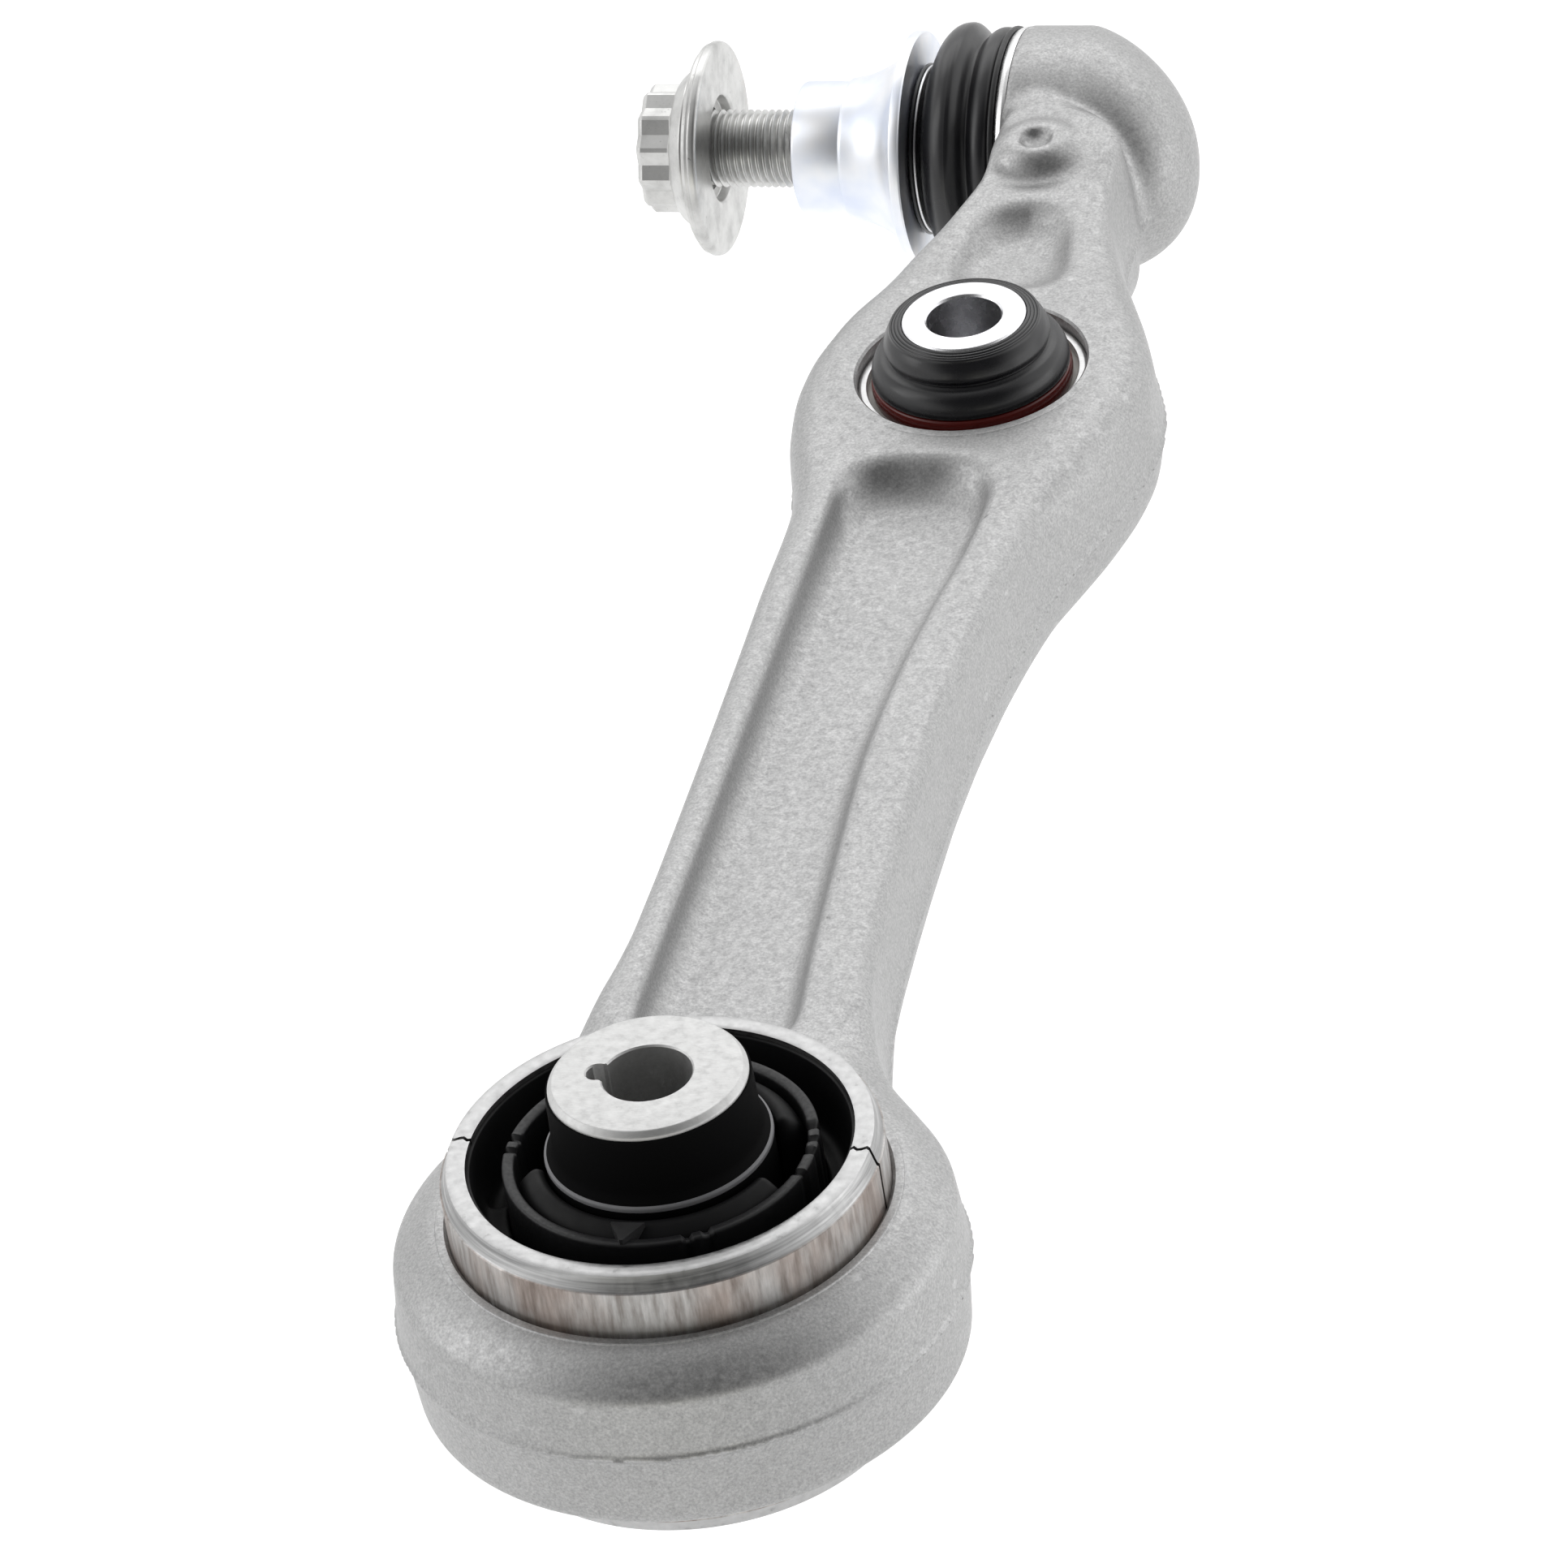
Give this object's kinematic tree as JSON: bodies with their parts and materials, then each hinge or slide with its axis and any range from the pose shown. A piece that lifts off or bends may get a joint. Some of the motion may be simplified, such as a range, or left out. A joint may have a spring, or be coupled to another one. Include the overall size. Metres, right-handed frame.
{
  "type": "suspension control arm",
  "caption": "Forged aluminium lower control arm with a hydraulic subframe bush, a strut bearing and a booted ball joint with its clamp bolt.",
  "frame": {"origin": "centre of the hydraulic bush bore at half its length", "axes": "+Z along the bush bore, +Y along the arm to the ball joint; the ball stud points along -X"},
  "size_m": [0.1465, 0.4515, 0.0876],
  "materials": {
    "forging": "shot-blasted matt",
    "shell": "turned, lightly scratched",
    "core": "machined satin",
    "bush_rubber": "matt moulded",
    "bush_plastic": "glass filled matt",
    "hidden_plastic": "smooth natural",
    "sleeve_steel": "ground bright",
    "race_steel": "turned",
    "boot_rubber": "satin moulded",
    "band_red": "satin dark red",
    "clamp_black": "black coated",
    "stud_zinc": "bright zinc plate",
    "bolt_steel": "zinc flake coated",
    "ring_steel": "plain"
  },
  "bodies": {
    "bush_core": {"bush_core": "core", "bush_core_coat": "bush_rubber", "bush_travel_stop": "bush_plastic"},
    "arm": {"arm_forging": "forging", "bush_shell_front": "shell", "bush_shell_rear": "shell", "bush_cage": "bush_plastic", "bush_channel_ring": "bush_plastic", "bush_spring_upper": "bush_rubber", "bush_spring_lower": "bush_rubber", "bush_seal_upper": "bush_rubber", "bush_seal_lower": "bush_rubber", "strut_bearing_shell": "hidden_plastic", "strut_race": "race_steel", "strut_band_upper": "band_red", "strut_band_lower": "band_red", "strut_boot_upper": "boot_rubber", "strut_boot_lower": "boot_rubber", "ball_seat": "hidden_plastic", "ball_retaining_ring": "ring_steel", "ball_boot": "boot_rubber", "boot_clamp_large": "clamp_black"},
    "strut_liner": {"strut_liner": "hidden_plastic"},
    "strut_collars": {"strut_collar_upper": "ring_steel", "strut_collar_lower": "ring_steel"},
    "strut_sleeve": {"strut_sleeve": "sleeve_steel"},
    "ball_liner": {"ball_liner": "hidden_plastic"},
    "boot_ring": {"boot_clamp_small": "clamp_black"},
    "ball_stud": {"ball_stud": "stud_zinc"},
    "washer": {"clamp_washer": "bolt_steel"},
    "bolt": {"knuckle_bolt": "bolt_steel"}
  },
  "joints": [
    {"name": "bush_swing", "type": "hinge", "parent": "bush_core", "child": "arm", "pos_m": [0, 0, 0], "axis": [0, 0, 1], "range_deg": [-20, 20], "stiffness_Nm_per_rad": 60},
    {"name": "strut_tilt_across", "type": "hinge", "parent": "arm", "child": "strut_liner", "pos_m": [-0.002, 0.2673, 0], "axis": [1, 0, 0], "range_deg": [-8, 8], "deforming": ["strut_boot_upper", "strut_boot_lower"]},
    {"name": "strut_tilt_along", "type": "hinge", "parent": "strut_liner", "child": "strut_collars", "pos_m": [-0.002, 0.2673, 0], "axis": [0, 1, 0], "range_deg": [-8, 8], "deforming": ["strut_boot_upper", "strut_boot_lower"]},
    {"name": "strut_turn", "type": "hinge", "parent": "strut_collars", "child": "strut_sleeve", "pos_m": [-0.002, 0.2673, 0], "axis": [0, 0, 1], "continuous": true},
    {"name": "ball_swing", "type": "hinge", "parent": "arm", "child": "ball_liner", "pos_m": [0, 0.37375, 0], "axis": [0, 0, 1], "range_deg": [-15, 15], "deforming": ["ball_boot"]},
    {"name": "ball_tilt", "type": "hinge", "parent": "ball_liner", "child": "boot_ring", "pos_m": [0, 0.37375, 0], "axis": [0, 1, 0], "range_deg": [-15, 15], "deforming": ["ball_boot"]},
    {"name": "ball_spin", "type": "hinge", "parent": "boot_ring", "child": "ball_stud", "pos_m": [0, 0.37375, 0], "axis": [-1, 0, 0], "continuous": true},
    {"name": "bolt_travel", "type": "slide", "parent": "ball_stud", "child": "washer", "axis": [1, 0, 0], "range_m": [-0.009, 0.017]},
    {"name": "bolt_turn", "type": "hinge", "parent": "washer", "child": "bolt", "pos_m": [0, 0.37375, 0], "axis": [1, 0, 0], "range_deg": [-2160, 4080]}
  ],
  "couplings": [
    {"joint": "bolt_travel", "follows": "bolt_turn", "m_per_rad": 0.00023873}
  ]
}
